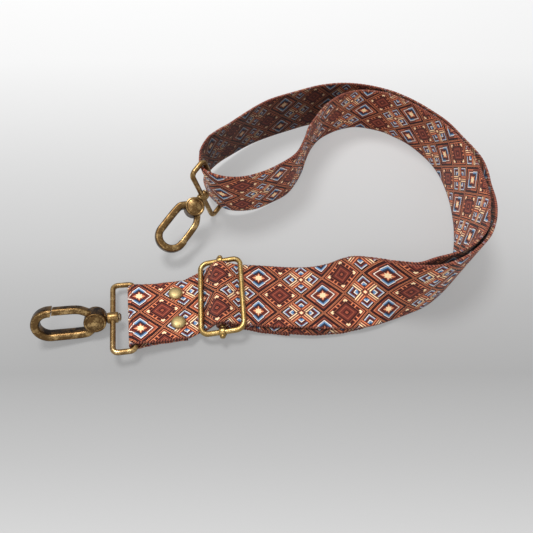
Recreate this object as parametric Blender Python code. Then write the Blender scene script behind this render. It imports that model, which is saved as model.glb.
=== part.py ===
"""Detachable bag strap: printed webbing with a slider, two rings and two swivel snap hooks.

Lengths are in metres and +Z is up. The strap lies on a table: its middle is flat, and the
long curve stands on its edge. The webbing is one length. It is riveted round ring 1, goes
through the slider, round the curve, through ring 2 and back to the slider's centre bar.
"""
import math

import bmesh
import bpy
from mathutils import Matrix, Vector

# Webbing
WEBBING_WIDTH = 0.038
WEBBING_THICKNESS = 0.0015
GAP = 0.0003
EDGE_LIFT = 0.0003
LAYER = WEBBING_THICKNESS + GAP
FOLD_BACK = 0.0258
SEAM_LEAD = 0.0012

# Rectangular rings
RING_WIRE = 0.0028
RING_OPENING = 0.0080
RING_SLACK = 0.0016
RING_CORNER = 0.0028
BOSS_DIAMETER = 0.0058
BOSS_LENGTH = 0.0056

# Swivel posts
POST_DIAMETER = 0.0024
POST_HEAD_DIAMETER = 0.0044
POST_HEAD_HEIGHT = 0.0011
POST_SEAT = 0.0017

# Snap hooks
BARREL_DIAMETER = 0.0110
BARREL_DEPTH = 0.0080
NECK_DIAMETER = 0.0058
NECK_LENGTH = 0.0010
HOOK_BAR = 0.0042
HOOK_DEPTH = 0.0062
HOOK_EDGE = 0.0011
HOOK_INNER_WIDTH = 0.0098
HOOK_INNER_LENGTH = 0.0208
GATE_BAR = 0.0036
GATE_EYE_DIAMETER = 0.0056
GATE_EYE_WIDTH = 0.0042
GATE_PIN_DIAMETER = 0.0018

# Slider
SLIDER_WIRE = 0.0028
SLIDER_LENGTH = 0.0252
SLIDER_SLACK = 0.0030
SLIDER_CORNER = 0.0042
CENTRE_BAR_DIAMETER = 0.0028
EYELET_WALL = 0.0008
EYELET_WIDTH = 0.0040

# Rivets
RIVET_CAP_DIAMETER = 0.0076
RIVET_CAP_HEIGHT = 0.0020
RIVET_RIM = 0.0005
RIVET_POST_DIAMETER = 0.0030
RIVET_BACK_HEIGHT = 0.0009
RIVET_SOCKET = 0.0008
RIVET_PITCH = 0.0190
RIVET_FROM_BAR = 0.0220

# One unit of the lying route
LAY_UNIT = 0.1

# The slider's place on the table, in lay units, and its height and turns in degrees
SLIDER_PLACE_SHARES = (-0.240, 1.344)
SLIDER_HEIGHT = 0.0081
SLIDER_YAW = 5.0
SLIDER_ROLL = 1.5
SLIDER_PITCH = -9.5

# Ring 1's captured bar: place in lay units, height and turns in degrees
END_PLACE_SHARES = (-0.686, 1.230)
END_HEIGHT = 0.0059
END_YAW = 12.0
END_ROLL = -4.5
END_PITCH = 5.0
RING_1_RISE = 2.9

# Turns in degrees: ring 2 about its captured bar, and the hooks on their swivels
RING_2_TURN = 8.0
HOOK_1_TURN = 112.0
HOOK_2_TURN = -123.0

# Main strand from the slider to ring 2, by its lower edge: across and away in lay units,
# its height above the table in layers of webbing, and its roll in degrees
MAIN_ROUTE_SHARES = (
    (0.00, 1.168, 2.0, 2), (0.12, 1.164, 2.0, 1), (0.24, 1.160, 1.9, 3),
    (0.36, 1.159, 1.75, 11), (0.47, 1.166, 1.25, 28), (0.57, 1.192, 0.8, 51),
    (0.66, 1.230, 0.45, 70), (0.75, 1.270, 0.25, 82), (0.84, 1.314, 0.1, 89),
    (0.915, 1.368, 0, 93), (0.99, 1.437, 0, 96), (1.08, 1.533, 0, 97),
    (1.155, 1.612, 0, 93), (1.208, 1.690, 0, 89), (1.222, 1.770, 0, 89),
    (1.208, 1.870, 0, 92), (1.200, 1.980, 0, 95), (1.204, 2.100, 0, 93),
    (1.194, 2.280, 0, 85), (1.170, 2.420, 0, 81), (1.126, 2.535, 0, 78),
    (1.040, 2.670, 0, 76), (0.945, 2.760, 0, 76), (0.835, 2.835, 0, 76),
    (0.670, 2.890, 0, 77), (0.500, 2.910, 0, 77), (0.326, 2.880, 0, 77),
    (0.155, 2.807, 0, 77), (-0.012, 2.718, 0.2, 77), (-0.133, 2.630, 0.6, 75),
    (-0.247, 2.515, 1.3, 73), (-0.325, 2.425, 1.9, 72), (-0.380, 2.330, 2.4, 74),
    (-0.402, 2.235, 2.7, 79),
)
# Stations of the main strand that the return strand follows closely underneath
SHARED_STATIONS = 8

# Return strand beyond those stations, from the curve to ring 2, in the same terms
RETURN_ROUTE_SHARES = (
    (0.84, 1.345, 0, 86), (0.93, 1.412, 0, 92), (1.01, 1.500, 0, 97),
    (1.07, 1.600, 0, 100), (1.106, 1.710, 0, 100), (1.130, 1.800, 0, 100),
    (1.153, 1.920, 0, 97), (1.170, 2.094, 0, 93), (1.164, 2.280, 0, 86),
    (1.138, 2.410, 0, 82), (1.094, 2.515, 0, 79), (1.012, 2.644, 0, 77),
    (0.920, 2.733, 0, 76), (0.820, 2.802, 0, 76), (0.665, 2.848, 0, 75),
    (0.551, 2.827, 0, 76), (0.458, 2.780, 0, 77), (0.365, 2.701, 0, 77),
    (0.300, 2.592, 0, 79), (0.259, 2.476, 0, 82), (0.230, 2.370, 0, 85),
    (0.187, 2.267, 0, 83), (0.125, 2.164, 0.1, 80), (0.026, 2.082, 0.5, 78),
    (-0.071, 2.018, 1.1, 77), (-0.165, 1.990, 1.9, 75), (-0.240, 1.992, 2.5, 75),
    (-0.297, 2.028, 2.8, 76), (-0.352, 2.094, 2.9, 86),
)
RING_2_STATION = 27

# Stations from the slider over which the strap's free end reaches
TAIL_STATIONS = 1

# Station of both strands at which the sliding stretch ends and the main piece begins
SEAM_STATION = 4
ROUTE_STEPS = 4
BAR_STEPS = 10

TAU = 2.0 * math.pi


def clear_scene():
    for item in list(bpy.data.objects):
        bpy.data.objects.remove(item, do_unlink=True)


def make_material(name, colour, roughness, metallic):
    material = bpy.data.materials.new(name)
    material.use_nodes = True
    shader = material.node_tree.nodes["Principled BSDF"]
    shader.inputs["Base Color"].default_value = (*colour, 1.0)
    shader.inputs["Roughness"].default_value = roughness
    shader.inputs["Metallic"].default_value = metallic
    material.diffuse_color = (*colour, 1.0)
    return material


def add_object(name, mesh, material, matrix=None, parent=None):
    """A named object; matrix is its place in its parent's axes."""
    mesh.materials.clear()
    mesh.materials.append(material)
    item = bpy.data.objects.new(name, mesh)
    bpy.context.scene.collection.objects.link(item)
    item.parent = parent
    item.matrix_local = matrix or Matrix.Identity(4)
    return item


def add_axis(name, matrix, parent=None):
    empty = bpy.data.objects.new(name, None)
    bpy.context.scene.collection.objects.link(empty)
    empty.parent = parent
    empty.matrix_local = matrix
    return empty


def finish_mesh(name, bm, smooth_angle=35.0):
    bmesh.ops.recalc_face_normals(bm, faces=bm.faces)
    mesh = bpy.data.meshes.new(name)
    bm.to_mesh(mesh)
    bm.free()
    mesh.shade_smooth()
    mesh.set_sharp_from_angle(angle=math.radians(smooth_angle))
    return mesh


def sweep(name, frames, section, closed=False):
    """Join copies of a section; frames are (origin, across, up) and section points (a, b)."""
    bm = bmesh.new()
    rings = []
    for origin, across, up in frames:
        rings.append([bm.verts.new(origin + across * a + up * b) for a, b in section])
    count = len(section)
    last = len(rings) if closed else len(rings) - 1
    for index in range(last):
        one = rings[index]
        two = rings[(index + 1) % len(rings)]
        for side in range(count):
            after = (side + 1) % count
            bm.faces.new((one[side], one[after], two[after], two[side]))
    if not closed:
        bm.faces.new(rings[0])
        bm.faces.new(rings[-1])
    return finish_mesh(name, bm)


def revolve(name, profile, sides):
    """Turn (radius, height) points about Z; the first and last points lie on the axis."""
    bm = bmesh.new()
    rings = []
    for radius, height in profile[1:-1]:
        ring = []
        for side in range(sides):
            angle = TAU * side / sides
            ring.append(bm.verts.new((radius * math.cos(angle), radius * math.sin(angle), height)))
        rings.append(ring)
    poles = [bm.verts.new((0.0, 0.0, profile[0][1])), bm.verts.new((0.0, 0.0, profile[-1][1]))]
    for side in range(sides):
        after = (side + 1) % sides
        for one, two in zip(rings, rings[1:]):
            bm.faces.new((one[side], one[after], two[after], two[side]))
        bm.faces.new((poles[0], rings[0][side], rings[0][after]))
        bm.faces.new((poles[1], rings[-1][after], rings[-1][side]))
    return finish_mesh(name, bm)


def rod(name, radius, low, high, sides=20):
    return revolve(name, [(0.0, low), (radius, low), (radius, high), (0.0, high)], sides)


def sleeve(name, inner, outer, length, sides):
    """Round tube along Z, centred on the origin."""
    centre = (inner + outer) / 2.0
    half_wall = (outer - inner) / 2.0
    half = length / 2.0
    frames = []
    for side in range(sides):
        angle = TAU * side / sides
        out = Vector((math.cos(angle), math.sin(angle), 0.0))
        frames.append((out * centre, out, Vector((0.0, 0.0, 1.0))))
    section = [(half_wall, half), (-half_wall, half), (-half_wall, -half), (half_wall, -half)]
    return sweep(name, frames, section, closed=True)


def circle(radius, sides):
    turns = [TAU * (side + 0.5) / sides for side in range(sides)]
    return [(radius * math.cos(turn), radius * math.sin(turn)) for turn in turns]


def chamfered(width, depth, edge):
    """Rectangle with its four corners cut, as section points."""
    a = width / 2.0
    b = depth / 2.0
    return [(a, b - edge), (a - edge, b), (edge - a, b), (-a, b - edge),
            (-a, edge - b), (edge - a, -b), (a - edge, -b), (a, edge - b)]


def axes(x_axis, y_axis, z_axis, origin):
    matrix = Matrix.Identity(4)
    for column, axis in enumerate((x_axis, y_axis, z_axis, origin)):
        for row in range(3):
            matrix[row][column] = axis[row]
    return matrix


def turn(degrees, axis):
    return Matrix.Rotation(math.radians(degrees), 4, axis)


def shift(x, y, z):
    return Matrix.Translation((x, y, z))


def rounded_rectangle(length_x, length_y, corner, steps):
    """Closed frames along a rounded rectangle in XY, centred on the origin."""
    frames = []
    corners = ((1, 1, 0.0), (-1, 1, 90.0), (-1, -1, 180.0), (1, -1, 270.0))
    for sign_x, sign_y, start in corners:
        centre = Vector((sign_x * (length_x / 2.0 - corner), sign_y * (length_y / 2.0 - corner), 0.0))
        for step in range(steps + 1):
            angle = math.radians(start + 90.0 * step / steps)
            out = Vector((math.cos(angle), math.sin(angle), 0.0))
            frames.append((centre + out * corner, out, Vector((0.0, 0.0, 1.0))))
    return frames


def cut_or_join(item, tool, operation):
    """Exact Boolean with a tool that stays as a hidden guide."""
    tool.hide_render = True
    tool.display_type = "WIRE"
    modifier = item.modifiers.new(tool.name, "BOOLEAN")
    modifier.operation = operation
    modifier.solver = "EXACT"
    modifier.object = tool


def smooth_between(before, start, end, after, share):
    """Point on the smooth curve from start to end, with tangents by the points beside them."""
    first = (end - before) / 2.0
    second = (after - start) / 2.0
    square = share * share
    cube = square * share
    return (start * (2 * cube - 3 * square + 1) + first * (cube - 2 * square + share)
            + end * (3 * square - 2 * cube) + second * (cube - square))


def smooth_route(stations, steps):
    """Stations are (edge point, width direction); gives finer ones in between."""
    result = []
    last = len(stations) - 1
    for index in range(last):
        window = [stations[max(0, index - 1)], stations[index], stations[index + 1],
                  stations[min(last, index + 2)]]
        for step in range(steps):
            share = step / steps
            point = smooth_between(*[item[0] for item in window], share)
            width = smooth_between(*[item[1] for item in window], share).normalized()
            result.append((point, width))
    result.append(stations[-1])
    return result


def lay_stations(table):
    """Turn a table of route shares into edge points and width directions."""
    flat = [Vector((across * LAY_UNIT, away * LAY_UNIT, 0.0)) for across, away, _, _ in table]
    stations = []
    for index, (_, _, layers, roll) in enumerate(table):
        ahead = flat[min(index + 1, len(flat) - 1)] - flat[max(index - 1, 0)]
        left = Vector((-ahead.y, ahead.x, 0.0)).normalized()
        angle = math.radians(roll)
        width = left * math.cos(angle) + Vector((0.0, 0.0, math.sin(angle)))
        height = EDGE_LIFT + layers * LAYER + WEBBING_THICKNESS / 2.0 * abs(math.cos(angle))
        stations.append((flat[index] + Vector((0.0, 0.0, height)), width))
    return stations


def profile_stations(matrix, profile):
    """Stations across a local (x, z) profile, with the webbing centred on local Y."""
    width = matrix.to_3x3() @ Vector((0.0, 1.0, 0.0))
    half = WEBBING_WIDTH / 2.0
    return [(matrix @ Vector((x, -half, z)), width) for x, z in profile]


def webbing_mesh(name, stations):
    """Closed strip of webbing along edge stations."""
    frames = []
    for index, (point, width) in enumerate(stations):
        ahead = stations[min(index + 1, len(stations) - 1)][0] - stations[max(index - 1, 0)][0]
        normal = ahead.cross(width).normalized()
        frames.append((point + width * (WEBBING_WIDTH / 2.0), width, normal))
    half_width = WEBBING_WIDTH / 2.0
    half_thickness = WEBBING_THICKNESS / 2.0
    section = [(half_width, half_thickness), (-half_width, half_thickness),
               (-half_width, -half_thickness), (half_width, -half_thickness)]
    return sweep(name, frames, section)


def trim_start(stations, length):
    """Drop the first stretch of a route, to leave a seam open."""
    point, width = stations[0]
    ahead = (stations[1][0] - point).normalized()
    rest = [item for item in stations[1:] if (item[0] - point).length > 2.0 * length]
    return [(point + ahead * length, width)] + rest


def slider_matrix():
    across, away = SLIDER_PLACE_SHARES
    place = shift(across * LAY_UNIT, away * LAY_UNIT, SLIDER_HEIGHT)
    return place @ turn(SLIDER_YAW, "Z") @ turn(SLIDER_ROLL, "X") @ turn(SLIDER_PITCH, "Y")


def end_matrix():
    """Axes of the riveted end: origin on ring 1's captured bar, X toward the slider."""
    across, away = END_PLACE_SHARES
    place = shift(across * LAY_UNIT, away * LAY_UNIT, END_HEIGHT)
    return place @ turn(END_YAW, "Z") @ turn(END_ROLL, "X") @ turn(END_PITCH, "Y")


def bar_reach():
    return (SLIDER_LENGTH - SLIDER_WIRE) / 2.0


def under_bar():
    return (SLIDER_WIRE + WEBBING_THICKNESS) / 2.0 + 1.5 * GAP


def wrap_radius():
    return (CENTRE_BAR_DIAMETER + WEBBING_THICKNESS) / 2.0 + GAP


def hump_height():
    return wrap_radius() + LAYER


def fold_radius():
    return (RING_WIRE + WEBBING_THICKNESS) / 2.0 + GAP


def main_through_slider():
    """The main strand under the left bar, over the centre bar and under the right bar."""
    reach = bar_reach()
    low = -under_bar()
    top = hump_height()
    slope = 0.36 * reach
    crown = 0.18 * reach
    profile = [(-reach, low), (-0.76 * reach, 0.56 * low), (-slope, 0.54 * top),
               (-crown, 0.92 * top), (0.0, top), (crown, 0.92 * top), (slope, 0.56 * top),
               (0.75 * reach, 0.50 * low), (reach, low)]
    return profile_stations(slider_matrix(), profile)


def shared_return_stations():
    """The return strand where it lies against the main strand's underside."""
    result = []
    stations = lay_stations(MAIN_ROUTE_SHARES)
    for index in range(SHARED_STATIONS):
        point, width = stations[index]
        ahead = stations[index + 1][0] - stations[max(index - 1, 0)][0]
        normal = ahead.cross(width).normalized()
        result.append((point - normal * LAYER, width))
    return result


def return_from_bar():
    """The return strand from the top of the centre bar, under the main strand."""
    reach = bar_reach()
    radius = wrap_radius()
    profile = [(0.50 * radius, 0.88 * radius), (0.26 * reach, 0.42 * radius),
               (0.62 * reach, 0.98 * -under_bar()), (reach, -under_bar() - LAYER)]
    return profile_stations(slider_matrix(), profile)


def main_stations():
    """Whole main strand, from beside the rivets to ring 2."""
    end = end_matrix()
    half = LAYER / 2.0
    places = (FOLD_BACK - SEAM_LEAD, FOLD_BACK, FOLD_BACK + SEAM_LEAD)
    lead = profile_stations(end, [(place, half) for place in places])
    return lead + main_through_slider() + lay_stations(MAIN_ROUTE_SHARES)


def return_stations():
    """Whole return strand, from the centre bar to ring 2."""
    top = profile_stations(slider_matrix(), [(0.0, wrap_radius())])
    return (top + return_from_bar() + shared_return_stations()
            + lay_stations(RETURN_ROUTE_SHARES))


def main_route():
    """The main strand in fine stations, and where its table begins in them."""
    stations = main_stations()
    start = (len(stations) - len(MAIN_ROUTE_SHARES)) * ROUTE_STEPS
    return smooth_route(stations, ROUTE_STEPS), start


def beneath(fine, first, last):
    """The stations that lie one layer under fine stations first to last."""
    result = []
    for index in range(first, last + 1):
        point, width = fine[index]
        normal = (fine[index + 1][0] - fine[index - 1][0]).cross(width).normalized()
        result.append((point - normal * LAYER, width))
    return result


def return_route():
    """The return strand in fine stations, laid against the main strand where they share."""
    stations = return_stations()
    start = (len(stations) - len(RETURN_ROUTE_SHARES) - SHARED_STATIONS) * ROUTE_STEPS
    fine = smooth_route(stations, ROUTE_STEPS)
    main_fine, main_start = main_route()
    shared = (SHARED_STATIONS - 1) * ROUTE_STEPS
    fine[start:start + shared + 1] = beneath(main_fine, main_start, main_start + shared)
    return fine, start


def split_main():
    """Sliding stretch and standing stretch of the main strand."""
    fine, start = main_route()
    cut = start + SEAM_STATION * ROUTE_STEPS
    return fine[ROUTE_STEPS:cut + 1], fine[cut:]


def split_return():
    """Sliding stretch and standing stretch of the return strand."""
    fine, start = return_route()
    cut = start + SEAM_STATION * ROUTE_STEPS
    return fine[:cut + 1], fine[cut:]


def make_webbing(fabric):
    """The webbing's five pieces: riveted end, sliding stretches, wrapped end, standing loop."""
    main_slide, main_stand = split_main()
    return_slide, return_stand = split_return()
    add_object("webbing_straight", webbing_mesh("webbing_straight", trim_start(main_slide, GAP)), fabric)
    add_object("webbing_return", webbing_mesh("webbing_return", trim_start(return_slide, GAP)), fabric)
    stations = trim_start(return_stand, GAP) + list(reversed(trim_start(main_stand, GAP)))
    loop = return_stand[-1:] + main_stand[-1:]
    bridge = smooth_route([return_stand[-1 - ROUTE_STEPS]] + loop + [main_stand[-1 - ROUTE_STEPS]],
                          ROUTE_STEPS)
    middle = bridge[ROUTE_STEPS + 1:2 * ROUTE_STEPS]
    count = len(return_stand)
    stations = stations[:count] + middle + stations[count:]
    add_object("webbing_main", webbing_mesh("webbing_main", stations), fabric)
    make_wrapped_end(fabric)
    return make_riveted_end(fabric)


def make_wrapped_end(fabric):
    """The strap's free end, wrapped round the centre bar and laid under the return strand."""
    radius = wrap_radius()
    reach = bar_reach()
    profile = []
    for step in range(BAR_STEPS + 1):
        angle = math.radians(90.0 + 180.0 * step / BAR_STEPS)
        profile.append((radius * math.cos(angle), radius * math.sin(angle)))
    low = -under_bar() - 2.0 * LAYER
    profile += [(0.30 * reach, 0.55 * low), (0.63 * reach, 0.80 * low)]
    wrap = profile_stations(slider_matrix(), profile)
    route, start = return_route()
    tail = beneath(route, start - ROUTE_STEPS, start + TAIL_STATIONS * ROUTE_STEPS)
    joined = smooth_route(wrap[BAR_STEPS:] + tail[:1], ROUTE_STEPS)
    stations = trim_start(wrap[:BAR_STEPS], GAP) + joined[:-1] + tail
    add_object("webbing_wrap", webbing_mesh("webbing_wrap", stations), fabric)


def make_riveted_end(fabric):
    """The strap's other end, folded round ring 1's bar and held by two rivets."""
    radius = fold_radius()
    half = LAYER / 2.0
    profile = [(FOLD_BACK, -half), (0.45 * FOLD_BACK, -half), (0.27 * FOLD_BACK, -0.55 * radius)]
    for step in range(BAR_STEPS + 1):
        angle = math.radians(270.0 - 180.0 * step / BAR_STEPS)
        profile.append((radius * math.cos(angle), radius * math.sin(angle)))
    profile += [(0.27 * FOLD_BACK, 0.55 * radius), (0.45 * FOLD_BACK, half), (FOLD_BACK, half)]
    matrix = end_matrix()
    item = add_object("webbing_riveted_end", webbing_mesh("webbing_riveted_end",
                                                          profile_stations(matrix, profile)), fabric)
    for index, side in enumerate((-0.5, 0.5)):
        place = matrix @ shift(RIVET_FROM_BAR, side * RIVET_PITCH, 0.0)
        hole = rod("rivet_hole", RIVET_POST_DIAMETER / 2.0 + GAP, -LAYER * 2.0, LAYER * 2.0)
        cutter = add_object("rivet_hole_%d" % (index + 1), hole, fabric, place)
        cut_or_join(item, cutter, "DIFFERENCE")
    return matrix


def make_rivets(matrix, brass):
    """Two double cap rivets through both layers of the riveted end."""
    top = LAYER / 2.0 + WEBBING_THICKNESS / 2.0 + GAP
    radius = RIVET_CAP_DIAMETER / 2.0
    socket = RIVET_POST_DIAMETER / 2.0 + GAP
    dome = []
    for step in range(6):
        angle = math.radians(90.0 * step / 6)
        dome.append((radius * math.cos(angle),
                     RIVET_RIM + (RIVET_CAP_HEIGHT - RIVET_RIM) * math.sin(angle)))
    cap = [(0.0, RIVET_SOCKET), (socket, RIVET_SOCKET), (socket, 0.0), (radius, 0.0)] + dome
    cap.append((0.0, RIVET_CAP_HEIGHT))
    stem = RIVET_POST_DIAMETER / 2.0
    tip = top + RIVET_SOCKET - GAP
    back = -top
    post = [(0.0, back - RIVET_BACK_HEIGHT), (0.7 * radius, back - RIVET_BACK_HEIGHT),
            (radius, back - RIVET_BACK_HEIGHT / 2.0), (radius, back), (stem, back), (stem, tip),
            (0.0, tip)]
    for index, side in enumerate((-0.5, 0.5)):
        place = matrix @ shift(RIVET_FROM_BAR, side * RIVET_PITCH, 0.0)
        number = index + 1
        add_object("rivet_cap_%d" % number, revolve("rivet_cap", cap, 24), brass,
                   place @ shift(0.0, 0.0, top))
        add_object("rivet_post_%d" % number, revolve("rivet_post", post, 24), brass, place)


def make_slider(brass):
    """Slider frame, and the centre bar that is threaded on its short sides."""
    axis = add_axis("slider_axis", slider_matrix())
    window = WEBBING_WIDTH + SLIDER_SLACK
    frames = rounded_rectangle(SLIDER_LENGTH - SLIDER_WIRE, window + SLIDER_WIRE, SLIDER_CORNER, 5)
    wire = sweep("slider_frame", frames, circle(SLIDER_WIRE / 2.0, 12), closed=True)
    add_object("slider_frame", wire, brass, parent=axis)
    reach = (window + SLIDER_WIRE) / 2.0
    bore = SLIDER_WIRE / 2.0 + GAP
    stop = reach - bore - EYELET_WALL / 2.0
    bar = rod("slider_centre_bar", CENTRE_BAR_DIAMETER / 2.0, -stop, stop, 16)
    item = add_object("slider_centre_bar", bar, brass, turn(-90.0, "X"), axis)
    for index, side in enumerate((-1.0, 1.0)):
        place = shift(0.0, side * reach, 0.0) @ turn(90.0, "Y")
        eyelet = sleeve("eyelet", bore, bore + EYELET_WALL, EYELET_WIDTH, 20)
        tool = add_object("eyelet_%d" % (index + 1), eyelet, brass, place, axis)
        cut_or_join(item, tool, "UNION")


def ring_pitch():
    return RING_OPENING + RING_WIRE


def make_ring(number, matrix, brass):
    """Rectangular ring; its captured bar is on local Y and its other bar is at +X."""
    axis = add_axis("ring_axis_%d" % number, matrix)
    pitch = ring_pitch()
    length = WEBBING_WIDTH + RING_SLACK + RING_WIRE
    frames = rounded_rectangle(pitch, length, RING_CORNER, 5)
    frames = [(point + Vector((pitch / 2.0, 0.0, 0.0)), out, up) for point, out, up in frames]
    wire = sweep("ring_%d" % number, frames, circle(RING_WIRE / 2.0, 12), closed=True)
    item = add_object("ring_%d" % number, wire, brass, parent=axis)
    place = shift(pitch, 0.0, 0.0) @ turn(90.0, "Y")
    half = BOSS_LENGTH / 2.0
    boss = rod("boss", BOSS_DIAMETER / 2.0, -half, half)
    joined = add_object("boss_%d" % number, boss, brass, place, axis)
    cut_or_join(item, joined, "UNION")
    bore = rod("boss_bore", POST_DIAMETER / 2.0 + GAP, -BOSS_LENGTH, BOSS_LENGTH)
    cutter = add_object("boss_bore_%d" % number, bore, brass, place, axis)
    cut_or_join(item, cutter, "DIFFERENCE")
    return axis


def hook_sizes():
    """Places along the hook's axis, from the ring's outer bar."""
    neck = BOSS_LENGTH / 2.0 + GAP
    barrel = neck + NECK_LENGTH + BARREL_DIAMETER / 2.0 - BARREL_DIAMETER / 10.0
    side = (HOOK_INNER_WIDTH + HOOK_BAR) / 2.0
    bow = barrel + BARREL_DIAMETER / 2.0 + HOOK_INNER_LENGTH - HOOK_INNER_WIDTH / 2.0
    return neck, barrel, side, bow


def hook_path():
    """Frames of the hook's bar: from the barrel, along the spine and round the bow to the nose."""
    _, barrel, side, bow = hook_sizes()
    radius = BARREL_DIAMETER / 2.0
    up = Vector((0.0, 0.0, 1.0))
    points = [Vector((barrel, -0.35 * radius, 0.0)),
              Vector((barrel + 0.55 * radius, -0.80 * side, 0.0)),
              Vector((barrel + 1.25 * radius, -side, 0.0))]
    for step in range(11):
        angle = math.radians(-90.0 + 180.0 * step / 10)
        points.append(Vector((bow + side * math.cos(angle), side * math.sin(angle), 0.0)))
    frames = []
    for index, point in enumerate(points):
        ahead = points[min(index + 1, len(points) - 1)] - points[max(index - 1, 0)]
        across = Vector((ahead.y, -ahead.x, 0.0)).normalized()
        frames.append((point, across, up))
    tip, slant = gate_tip()
    frames.append((gate_pivot() + tip + Vector((1.5 * GAP, 0.0, 0.0)), -slant, up))
    return frames


def gate_pivot():
    _, barrel, _, _ = hook_sizes()
    return Vector((barrel, BARREL_DIAMETER / 5.0, 0.0))


def gate_tip():
    """Middle of the gate's tip, from its pivot, and the slant that lets it swing past the nose."""
    pivot = gate_pivot()
    _, _, side, bow = hook_sizes()
    tip = Vector((bow - side / 4.0 - pivot.x, side - pivot.y, 0.0))
    return tip, Vector((tip.y / tip.x, -1.0, 0.0))


def make_hook(number, matrix, parent, brass, steel):
    """Hook body, swivel post, gate and gate pin; local X is the swivel's axis."""
    neck, barrel, side, _ = hook_sizes()
    axis = add_axis("hook_axis_%d" % number, matrix, parent)
    body = add_object("hook_body_%d" % number,
                      sweep("hook_body", hook_path(), chamfered(HOOK_BAR, HOOK_DEPTH, HOOK_EDGE)),
                      brass, parent=axis)
    along_x = turn(90.0, "Y")
    depth = BARREL_DEPTH / 2.0
    radius = BARREL_DIAMETER / 2.0
    edge = HOOK_EDGE / 2.0
    profile = [(0.0, -depth), (radius - edge, -depth), (radius, edge - depth),
               (radius, depth - edge), (radius - edge, depth), (0.0, depth)]
    pieces = [("barrel", revolve("barrel", profile, 24), shift(barrel, 0.0, 0.0), "UNION"),
              ("neck", rod("neck", NECK_DIAMETER / 2.0, neck, barrel), along_x, "UNION"),
              ("slot", slot_mesh(), shift(0.0, 0.0, 0.0), "DIFFERENCE"),
              ("pin_bore", rod("pin_bore", GATE_PIN_DIAMETER / 2.0 + GAP, -BARREL_DEPTH, BARREL_DEPTH),
               Matrix.Translation(gate_pivot()), "DIFFERENCE"),
              ("seat", rod("seat", POST_DIAMETER / 2.0 + GAP, 0.0, neck + POST_SEAT), along_x,
               "DIFFERENCE")]
    for name, mesh, place, operation in pieces:
        tool = add_object("%s_%d" % (name, number), mesh, brass, place, axis)
        cut_or_join(body, tool, operation)
    add_object("swivel_post_%d" % number, post_mesh(neck), steel, along_x, axis)
    gate_axis = add_axis("gate_axis_%d" % number, Matrix.Translation(gate_pivot()), axis)
    pin = rod("gate_pin", GATE_PIN_DIAMETER / 2.0, -depth, depth, 16)
    add_object("gate_pin_%d" % number, pin, steel, parent=gate_axis)
    make_gate(number, gate_axis, brass)


def slot_mesh():
    """Cutter for the gate's slot in the barrel, open on the gate's side."""
    pivot = gate_pivot()
    clear = GATE_EYE_DIAMETER / 2.0 + 2.0 * GAP
    wide = GATE_EYE_WIDTH / 2.0 + GAP
    low = pivot.y - clear
    high = BARREL_DIAMETER
    start = pivot.x - clear
    stop = pivot.x + BARREL_DIAMETER
    section = [(wide, low), (-wide, low), (-wide, high), (wide, high)]
    across = Vector((0.0, 0.0, 1.0))
    up = Vector((0.0, 1.0, 0.0))
    frames = [(Vector((start, 0.0, 0.0)), across, up), (Vector((stop, 0.0, 0.0)), across, up)]
    return sweep("slot", frames, section)


def post_mesh(neck):
    """Swivel post: a head inside the ring, a shank through the boss and a seat in the neck."""
    head = POST_HEAD_DIAMETER / 2.0
    shank = POST_DIAMETER / 2.0
    base = -BOSS_LENGTH / 2.0 - GAP
    top = base - POST_HEAD_HEIGHT
    return revolve("swivel_post", [(0.0, top), (0.6 * head, top), (head, top + 0.6 * POST_HEAD_HEIGHT),
                                   (head, base), (shank, base), (shank, neck + POST_SEAT - GAP),
                                   (0.0, neck + POST_SEAT - GAP)], 20)


def make_gate(number, gate_axis, brass):
    """Spring gate: an eye on the pin and a bar that reaches the nose."""
    up = Vector((0.0, 0.0, 1.0))
    tip, slant = gate_tip()
    points = [Vector((0.0, 0.0, 0.0)), Vector((0.22 * tip.x, 0.62 * tip.y, 0.0)),
              Vector((0.45 * tip.x, 0.95 * tip.y, 0.0)), tip]
    frames = []
    for index, point in enumerate(points[:-1]):
        ahead = points[index + 1] - points[max(index - 1, 0)]
        frames.append((point, Vector((ahead.y, -ahead.x, 0.0)).normalized(), up))
    frames.append((tip, slant, up))
    edge = HOOK_EDGE / 2.0
    narrow = chamfered(GATE_BAR, GATE_EYE_WIDTH, edge)
    gate = add_object("gate_%d" % number, sweep("gate", frames, narrow), brass, parent=gate_axis)
    half = GATE_EYE_WIDTH / 2.0
    eye = rod("gate_eye", GATE_EYE_DIAMETER / 2.0, -half, half)
    cut_or_join(gate, add_object("gate_eye_%d" % number, eye, brass, parent=gate_axis), "UNION")
    bore = rod("gate_bore", GATE_PIN_DIAMETER / 2.0 + GAP, -BARREL_DEPTH, BARREL_DEPTH)
    cut_or_join(gate, add_object("gate_bore_%d" % number, bore, brass, parent=gate_axis), "DIFFERENCE")


def ring_1_matrix():
    """Ring 1 in the riveted end's axes: X points away from the slider and rises."""
    end = end_matrix()
    rotation = end @ turn(180.0, "Z") @ turn(-RING_1_RISE, "Y")
    return rotation


def ring_2_matrix():
    """Ring 2 round the standing loop: Y is up along the webbing, X points out of the loop."""
    stations = lay_stations(RETURN_ROUTE_SHARES)
    point, width = stations[RING_2_STATION]
    ahead = stations[RING_2_STATION + 1][0] - stations[RING_2_STATION - 1][0]
    out = width.cross(ahead).normalized()
    origin = point + width * (WEBBING_WIDTH / 2.0) - out * (fold_radius() + GAP)
    return axes(out, width, out.cross(width), origin) @ turn(RING_2_TURN, "Y")


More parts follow.
